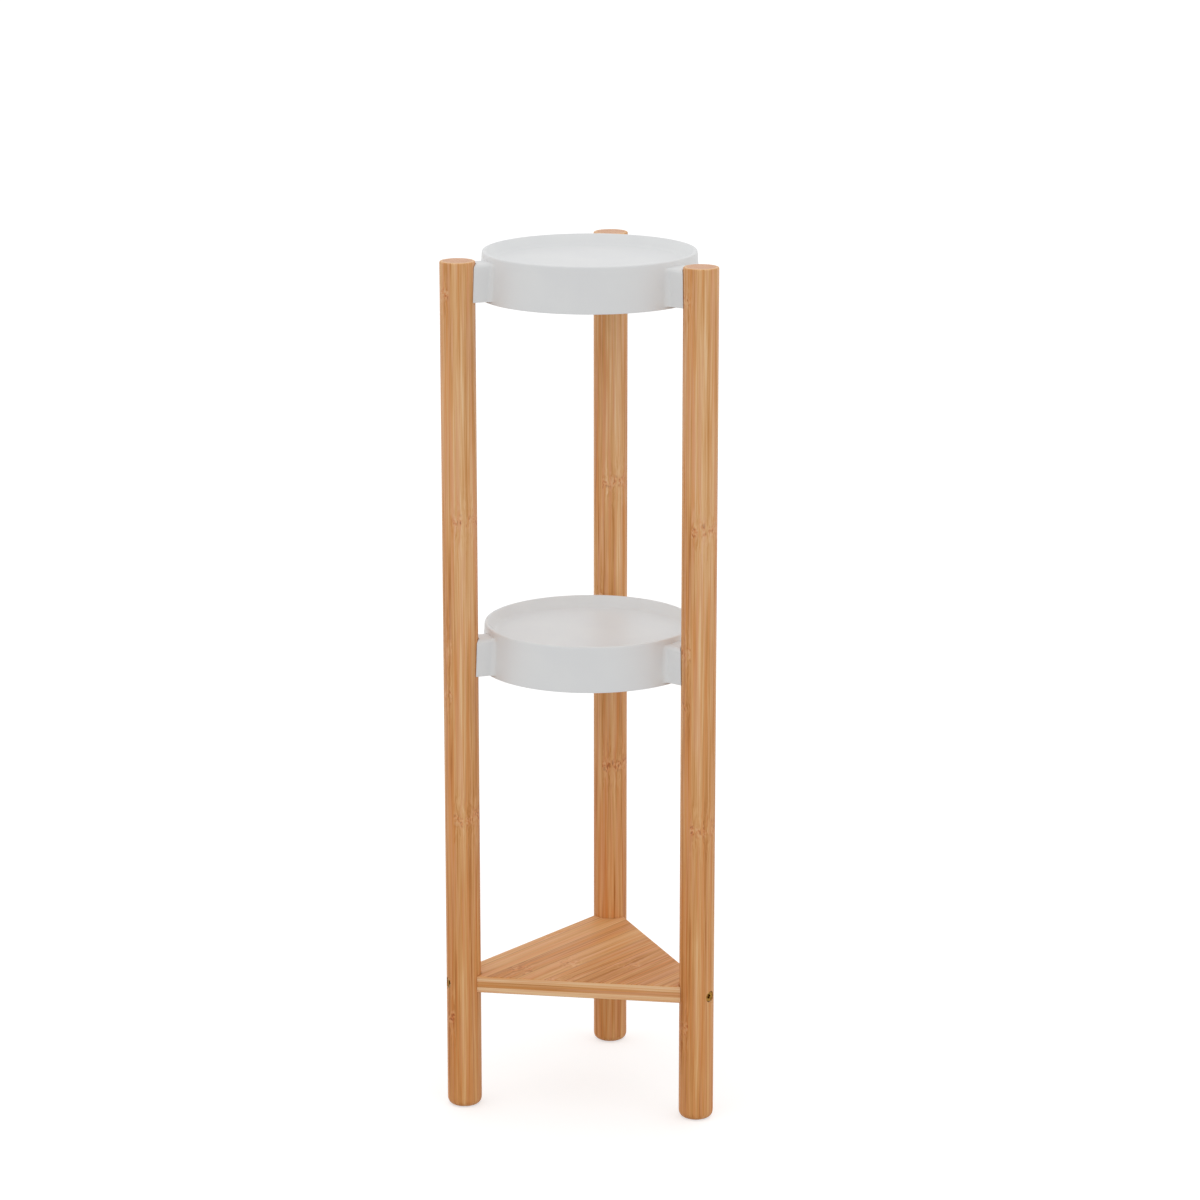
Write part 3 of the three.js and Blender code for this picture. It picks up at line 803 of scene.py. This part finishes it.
def fibres(finish, point):
    """Bamboo fibre, from 0 to 1: broad streaks with lines and finer lines in them, drawn out along Z."""
    grain = finish.noise(point, BROAD_STREAKS)
    for waves, weight in FINE_STREAKS:
        grain = finish.math("ADD", grain, finish.swing(finish.noise(point, waves), weight))
    return grain


def strands(finish, colour, point):
    """Orange and rosy strands over a colour, drawn out along Z."""
    orange, rosy, _ = finish.split(finish.noise(point, STRAND_WAVES, output="Color"))
    colour = finish.blend(finish.between(orange, 0.5, 0.62, 0.0, 0.5), colour, ORANGE_STRAND)
    return finish.blend(finish.between(rosy, 0.5, 0.6, 0.0, 0.4), colour, ROSY_STRAND)


def knuckles(finish, colour, near, point, strength):
    """Patches of pale arcs, red streaks and dark flecks where a node is near."""
    flecks = finish.ramp(finish.noise(point, FLECK_WAVES), KNUCKLE_TONES)
    patches = finish.between(finish.noise(point, PATCH_WAVES, 1.0), 0.42, 0.54)
    core = finish.between(near, 0.78, 0.97, 0.0, strength)
    return finish.blend(finish.math("MULTIPLY", core, patches), colour, flecks)


# ---- Bamboo rod ----

# Strips that a rod is glued up from, seen from the front: left edge in mm from the axis, then tone.
ROD_STRIPS = [(-15, 0.42), (-7.2, 0.46), (-4.4, 0.6), (1.6, 0.56), (7.6, 0.52), (11.4, 0.36)]
ROD_CONTRAST = 1.5  # of the fibres within a strip
ROD_SEAM = 0.1  # half the blur between strips with other nodes
ROD_SHIFTS = {"right": 0, "rear": 1700, "left": 40}  # how far each rod's fibres are moved along it
PHOTO_FACING = 9  # degrees, the camera's side of each rod

OUTER_KNUCKLES = [83, 375, 420, 724]  # heights of the nodes in the strips at the left
INNER_KNUCKLES = [266, 528]  # and in the others
KNUCKLE_REACH = 45
ROD_KNUCKLE_STRENGTH = 0.58
ROD_WANDER = 12.0  # how unevenly a node runs round the rod
ROD_WANDER_WAVES = (0.12, 0.12, 0.05)
ROD_SWERVE = 7.0  # how far the fibres swerve at a node
ROD_SWERVE_WAVES = (0.25, 0.25, 0.06)

FOOT_DARKENING = (0.92, 0.8, 0.63, 1)  # what the wood is multiplied by at the foot of a leg, which makes it darker and more orange towards the foot
FOOT_DARKENING_HEIGHT = 500.0

END_GRAIN = [
    (0.3, srgb(186, 128, 92)),
    (0.48, srgb(218, 166, 132)),
    (0.7, srgb(234, 190, 158)),
]
END_DOTS = (1.4, 1.4, 1.4)
END_STRENGTH = 0.85
# Painted highlight: a paler ring on the leg's top, next to its rounded edge.
END_HIGHLIGHT = srgb(244, 204, 154)
END_HIGHLIGHT_INNER, END_HIGHLIGHT_OUTER = LEG_RADIUS - 3.5, LEG_RADIUS - 1.5  # where the painted highlight near the top's edge starts, and is full
END_HIGHLIGHT_STRENGTH = 0.7


def nearness(finish, height, places, whole):
    """1 at each of the places along a length, falling to 0 over the reach of a knuckle."""
    reach = KNUCKLE_REACH / whole
    stops = {0.0: grey(0), 1.0: grey(0)}
    for place in places:
        centre = place / whole
        stops[min(1, max(0, centre))] = grey(1)
        for edge in (centre - reach, centre + reach):
            crowded = any(abs(edge - other / whole) < reach for other in places if other != place)
            if 0 < edge < 1 and not crowded:
                stops[edge] = grey(0)
    for low, high in zip(sorted(places), sorted(places)[1:]):
        if high - low < 2 * KNUCKLE_REACH:
            stops[(low + high) / 2 / whole] = grey(0.5)
    share = finish.math("DIVIDE", height, whole)
    return finish.ramp(share, list(stops.items()))


def rod_nearness(finish, point, in_front):
    """1 at a rod's nodes, which stand at other heights in the strips at the left than in the others."""
    x, _, z = finish.split(point)
    wander = finish.noise(point, ROD_WANDER_WAVES)
    level = finish.math("ADD", z, finish.swing(wander, ROD_WANDER))
    outer = nearness(finish, level, OUTER_KNUCKLES, LEG_HEIGHT)
    inner = nearness(finish, level, INNER_KNUCKLES, LEG_HEIGHT)
    seam = ROD_STRIPS[1][0]
    at_left = finish.between(x, seam + ROD_SEAM, seam - ROD_SEAM)
    before = finish.blend(at_left, inner, outer)
    behind = finish.blend(at_left, outer, inner)
    return finish.blend(in_front, behind, before)


def swerved(finish, point, near):
    """A point, moved aside where a node is near, since the fibres run straight but swerve round nodes."""
    swirl = finish.noise(point, ROD_SWERVE_WAVES, output="Color")
    sway = finish.add("VectorMath", {0: swirl, 1: (0.5, 0.5, 0.5)}, operation="SUBTRACT")
    pull = finish.math("MULTIPLY", finish.math("POWER", near, 2.0), ROD_SWERVE)
    swerve = finish.add("VectorMath", {0: sway, "Scale": pull}, operation="SCALE")
    return finish.add("VectorMath", {0: point, 1: swerve}, operation="ADD")


def strip_tones(finish, x, in_front):
    """The tone of each strip. Those behind are in the opposite order."""
    width = 2 * LEG_RADIUS
    stops = [((edge + LEG_RADIUS) / width, grey(tone)) for edge, tone in ROD_STRIPS]
    across = finish.math("DIVIDE", finish.math("ADD", x, LEG_RADIUS), width)
    before = finish.ramp(across, stops, "CONSTANT")
    behind = finish.ramp(finish.math("SUBTRACT", 1.0, across), stops, "CONSTANT")
    return finish.blend(in_front, behind, before)


def end_grain(finish, point):
    """Dots of cut fibres, with a painted highlight that makes them paler towards the rim."""
    x, y, _ = finish.split(point)
    ends = finish.ramp(finish.noise(point, END_DOTS, 1.0), END_GRAIN)
    # Painted highlight: the top is made paler near its rim.
    rim = finish.between(finish.radius(x, y), END_HIGHLIGHT_INNER, END_HIGHLIGHT_OUTER, 0.0, END_HIGHLIGHT_STRENGTH)
    return finish.blend(rim, ends, END_HIGHLIGHT)


def bamboo_rod(side):
    """Laminated bamboo rod, with its strips turned to stand as in the photograph."""
    finish = Finish(f"bamboo_rod_{side}", Specular_IOR_Level=0.3)
    point = finish.position(-PHOTO_FACING)
    x, y, z = finish.split(point)
    in_front = finish.between(y, 2 * ROD_SEAM, -2 * ROD_SEAM)
    near = rod_nearness(finish, point, in_front)
    shift = (0, 0, ROD_SHIFTS[side])
    moved = finish.add("VectorMath", {0: swerved(finish, point, near), 1: shift}, operation="ADD")
    grain = fibres(finish, moved)
    tone = finish.math("ADD", strip_tones(finish, x, in_front), finish.swing(grain, ROD_CONTRAST))
    colour = strands(finish, finish.ramp(tone, BAMBOO), moved)
    colour = knuckles(finish, colour, near, moved, ROD_KNUCKLE_STRENGTH)
    # Darker and more orange towards the foot of the leg, fading out by FOOT_DARKENING_HEIGHT.
    colour = finish.blend(finish.between(z, FOOT_DARKENING_HEIGHT, 0.0), colour, FOOT_DARKENING, "MULTIPLY")
    on_top = finish.between(finish.normal()[2], 0.7, 0.95, 0.0, END_STRENGTH)
    colour = finish.blend(on_top, colour, end_grain(finish, point))
    finish.give(Base_Color=colour, Roughness=finish.between(grain, 0.2, 0.8, 0.56, 0.44))
    finish.bump(grain, 0.12, 0.5)
    return finish.material


# ---- Bamboo board ----

BOARD_STRIP = 22  # width of the strips in the shelf's faces
BOARD_START = 0.35  # share of a strip from a seam to the board's middle
BOARD_FACING = 60  # degrees from X to the strips' run
BOARD_KNUCKLES = 400  # spacing of the nodes along a strip
BOARD_KNUCKLE_REACH = 40.0
BOARD_KNUCKLE_STRENGTH = 0.35
BOARD_WANDER = 14.0  # how unevenly a node runs across the strips
BOARD_WANDER_WAVES = (0.08, 0.08, 0.08)
BOARD_SWERVE = 9.0  # how far the fibres swerve at a node
BOARD_SWERVE_WAVES = (0.06, 0.25, 0.25)
BOARD_CONTRAST = 0.9  # of the fibres within a strip or ply
STRIP_TONE, STRIP_SPREAD = 0.19, 0.4  # the darkest strip, and how much paler others can be
STRIP_OFFSET = 57.0  # moves the fibres of each strip away from the next one's
NODE_SEED = 31.0
GLUE_LINE = srgb(168, 104, 56)
GLUE_STRENGTH = 0.75
PLY_EDGES = [1 / 3, 2 / 3]  # shares of the shelf's thickness
PLY_FINENESS = 2.2  # of the fibres in the edges, against those in the faces
PALE_PLY, BROWN_PLY = grey(0.88), grey(0.26)


def board_face(finish):
    """The strips in the board's faces, each with its own tone and nodes: their colour and their grain."""
    point = finish.position(-BOARD_FACING)
    along, across, height = finish.split(point)
    lanes = finish.math("ADD", finish.math("DIVIDE", across, BOARD_STRIP), BOARD_START)
    strip = finish.math("FLOOR", lanes)

    wander = finish.math("MULTIPLY", finish.noise(point, BOARD_WANDER_WAVES), BOARD_WANDER)
    turns = finish.math("DIVIDE", finish.math("ADD", along, wander), BOARD_KNUCKLES)
    turns = finish.math("ADD", turns, finish.speckle(finish.math("ADD", strip, NODE_SEED)))
    away = finish.math("ABSOLUTE", finish.math("SUBTRACT", finish.math("FRACT", turns), 0.5))
    near = finish.between(finish.math("MULTIPLY", away, BOARD_KNUCKLES), BOARD_KNUCKLE_REACH, 0.0)

    sway = finish.noise(point, BOARD_SWERVE_WAVES)
    swerve = finish.swing(sway, finish.math("MULTIPLY", near, BOARD_SWERVE))
    offset = finish.math("MULTIPLY", strip, STRIP_OFFSET)
    lane = finish.math("ADD", finish.math("ADD", across, swerve), offset)
    moved = finish.combine(lane, height, along)
    grain = fibres(finish, moved)

    tone = finish.math("MULTIPLY", finish.speckle(strip), STRIP_SPREAD)
    tone = finish.math("ADD", finish.math("ADD", tone, STRIP_TONE), finish.swing(grain, BOARD_CONTRAST))
    colour = strands(finish, finish.ramp(tone, BAMBOO), moved)
    colour = knuckles(finish, colour, near, moved, BOARD_KNUCKLE_STRENGTH)
    from_middle = finish.math("ABSOLUTE", finish.math("SUBTRACT", finish.math("FRACT", lanes), 0.5))
    seam = finish.between(from_middle, 0.47, 0.5, 0.0, GLUE_STRENGTH)
    return finish.blend(seam, colour, GLUE_LINE), grain


def board_edge(finish, normal):
    """The plies in the board's edges, whose fibres run along the edge."""
    x, y, z = finish.split(finish.position())
    run_x = finish.math("MULTIPLY", y, normal[0])
    run_y = finish.math("MULTIPLY", x, normal[1])
    run = finish.math("SUBTRACT", run_x, run_y)
    point = finish.combine(finish.math("MULTIPLY", z, PLY_FINENESS), 0.0, run)
    share = finish.math("DIVIDE", finish.math("SUBTRACT", z, SHELF_BOTTOM), SHELF_TOP - SHELF_BOTTOM)
    low, high = PLY_EDGES
    ply = finish.ramp(share, [(0.0, PALE_PLY), (low, BROWN_PLY), (high, PALE_PLY)], "CONSTANT")
    tone = finish.math("ADD", ply, finish.swing(fibres(finish, point), BOARD_CONTRAST))
    return strands(finish, finish.ramp(tone, BAMBOO), point)


def bamboo_board():
    """Three-ply bamboo board: strips in its faces, and the plies in its edges."""
    finish = Finish("bamboo_board", Roughness=0.55, Specular_IOR_Level=0.25)
    normal = finish.normal()
    face, grain = board_face(finish)
    flat = finish.between(finish.math("ABSOLUTE", normal[2]), 0.45, 0.75)
    finish.give(Base_Color=finish.blend(flat, board_edge(finish, normal), face))
    finish.bump(grain, 0.1, 0.4)
    return finish.material


# ---- Plastic and metal ----

TRAY_TINT = [(NOISE_LOW, srgb(228, 229, 230)), (NOISE_HIGH, srgb(231, 232, 232))]
TRAY_CLOUDS = (0.03, 0.03, 0.03)
TRAY_RIPPLE = (1.2, 1.2, 1.2)
BRASS = (srgb(112, 78, 24), srgb(190, 142, 62))
PALE_BRASS = (srgb(158, 122, 60), srgb(208, 170, 100))
ZINC = (srgb(150, 153, 158), srgb(196, 198, 202))
METAL_CLOUDS = (0.6, 0.6, 0.6)
METAL_RINGS = (6.0, 6.0, 1.0)


def tray_plastic():
    """Satin white moulding with the faint ripple of a cooled surface."""
    finish = Finish("tray_plastic", Specular_IOR_Level=0.45)
    point = finish.position()
    fine = finish.noise(point, TRAY_RIPPLE, 3.0)
    finish.give(
        Base_Color=finish.ramp(finish.noise(point, TRAY_CLOUDS), TRAY_TINT),
        Roughness=finish.between(fine, NOISE_LOW, NOISE_HIGH, 0.38, 0.48),
    )
    finish.bump(fine, 0.012, 0.5)
    return finish.material


def metal(name, tones, roughness):
    """Turned and plated metal: a cloudy tone, with fine rings round its axis."""
    finish = Finish(name, Metallic=1.0)
    point = finish.position()
    x, y, z = finish.split(point)
    cloud = finish.noise(point, METAL_CLOUDS, 3.0)
    dark, bright = tones
    finish.give(
        Base_Color=finish.ramp(cloud, [(NOISE_LOW, dark), (NOISE_HIGH, bright)]),
        Roughness=finish.between(cloud, NOISE_LOW, NOISE_HIGH, roughness + 0.1, roughness - 0.05),
    )
    rings = finish.noise(finish.combine(finish.radius(x, y), z, 0.0), METAL_RINGS, 1.0)
    finish.bump(rings, 0.02, 0.4)
    return finish.material


# ---- Stage and light ----

FLOOR_SIZE = 80  # metres
FLOOR_TONE = 0.6
FLOOR_GLOW = 0.57  # added for the camera and in reflections, which makes the open floor white
FLOOR_DROP = 0.0002  # just under the feet, in metres
WORLD_LIGHT = 0.9  # what the white room gives to the object

# Soft lamps: name, place in metres from the stand's axis, size in metres and power in watts.
LAMPS = [
    ("left", (-2.4, -2.6, 1.6), 2.4, 4.5),
    ("right", (3.2, -1.2, 1.4), 1.6, 2),
]
LAMP_AIM = Vector((0, 0, 0.45))


def is_ray(tree, *kinds):
    """1 for a ray of any of these kinds, and 0 for the rest."""
    path = tree.nodes.new("ShaderNodeLightPath")
    level = path.outputs[kinds[0]]
    for kind in kinds[1:]:
        larger = tree.nodes.new("ShaderNodeMath")
        larger.operation = "MAXIMUM"
        tree.links.new(level, larger.inputs[0])
        tree.links.new(path.outputs[kind], larger.inputs[1])
        level = larger.outputs[0]
    return level


def floor_material():
    """Pale, and lit up for the camera so that the open floor is white and shadows stay."""
    material = bpy.data.materials.new("floor")
    material.use_nodes = True
    tree = material.node_tree
    nodes, links = tree.nodes, tree.links
    nodes.remove(nodes["Principled BSDF"])
    diffuse = nodes.new("ShaderNodeBsdfDiffuse")
    diffuse.inputs["Color"].default_value = grey(FLOOR_TONE)
    strength = nodes.new("ShaderNodeMath")
    strength.operation = "MULTIPLY"
    strength.inputs[1].default_value = FLOOR_GLOW
    links.new(is_ray(tree, "Is Camera Ray", "Is Glossy Ray"), strength.inputs[0])
    glow = nodes.new("ShaderNodeEmission")
    links.new(strength.outputs[0], glow.inputs["Strength"])
    both = nodes.new("ShaderNodeAddShader")
    links.new(diffuse.outputs[0], both.inputs[0])
    links.new(glow.outputs[0], both.inputs[1])
    links.new(both.outputs[0], nodes["Material Output"].inputs["Surface"])
    return material


def make_floor():
    bm = bmesh.new()
    bmesh.ops.create_grid(bm, x_segments=1, y_segments=1, size=FLOOR_SIZE / 2)
    floor = link("floor", bm, Matrix.Translation((0, 0, -FLOOR_DROP)))
    floor.data.materials.append(floor_material())


def make_world():
    """A room that shows as pure white and lights the object more softly."""
    world = bpy.data.worlds.new("room")
    bpy.context.scene.world = world
    world.use_nodes = True
    tree = world.node_tree
    back = tree.nodes["Background"]
    back.inputs["Color"].default_value = grey(1)
    strength = tree.nodes.new("ShaderNodeMapRange")
    strength.inputs["To Min"].default_value = WORLD_LIGHT
    strength.inputs["To Max"].default_value = 1.0
    seen = is_ray(tree, "Is Camera Ray", "Is Glossy Ray", "Is Transmission Ray")
    tree.links.new(seen, strength.inputs["Value"])
    tree.links.new(strength.outputs[0], back.inputs["Strength"])


def make_lamps():
    for name, place, size, power in LAMPS:
        data = bpy.data.lights.new(name, "AREA")
        data.size = size
        data.energy = power
        lamp = bpy.data.objects.new(name, data)
        lamp.location = Vector(place) + Vector((AXIS.x * MM, AXIS.y * MM, 0))
        aim = LAMP_AIM - Vector(place)
        lamp.rotation_euler = aim.to_track_quat("-Z", "Y").to_euler()
        bpy.context.scene.collection.objects.link(lamp)


# ---- Assembly ----


def place_legs():
    leg = leg_mesh()
    for side in LEG_ANGLES:
        copy = copy_of(leg)
        place = out_from_axis(side, LEG_CIRCLE, 0)
        # The turn goes into the mesh, so that the leg's box is square to the frame's axes.
        copy.data.transform(place.to_3x3().to_4x4())
        upright = Matrix.Translation(place.translation)
        dress(copy, f"leg_{side}", bamboo_rod(side), upright)
    bpy.data.objects.remove(leg)


def place_trays():
    tray = tray_mesh()
    plastic = tray_plastic()
    for level, rim in RIMS.items():
        dress(copy_of(tray), f"tray_{level}", plastic, on_axis(rim))
    bpy.data.objects.remove(tray)


def place_fasteners():
    brass = metal("brass_bolt", BRASS, 0.22)
    insert_brass = metal("brass_insert", PALE_BRASS, 0.3)
    steel = metal("zinc_steel", ZINC, 0.3)
    bolt, nut, screw, insert = shelf_bolt_mesh(), barrel_nut_mesh(), tray_screw_mesh(), insert_mesh()
    for side in LEG_ANGLES:
        matrix = out_from_axis(side, LEG_CIRCLE + BOLT_SEAT, SHELF_MIDDLE) @ OUTWARDS
        dress(copy_of(bolt), f"shelf_bolt_{side}", brass, matrix)
        matrix = out_from_axis(side, NUT_REACH, SHELF_MIDDLE)
        dress(copy_of(nut), f"barrel_nut_{side}", steel, matrix)
        for level, rim in RIMS.items():
            height = rim - SCREW_DROP
            matrix = out_from_axis(side, SCREW_SEAT, height) @ INWARDS
            dress(copy_of(screw), f"tray_screw_{level}_{side}", steel, matrix)
            matrix = out_from_axis(side, INSERT_MOUTH, height) @ OUTWARDS
            dress(copy_of(insert), f"leg_insert_{level}_{side}", insert_brass, matrix)
    for obj in (bolt, nut, screw, insert):
        bpy.data.objects.remove(obj)


make_camera()
place_legs()
place_trays()
dress(shelf_mesh(), "shelf", bamboo_board(), on_axis())
place_fasteners()
make_floor()
make_world()
make_lamps()
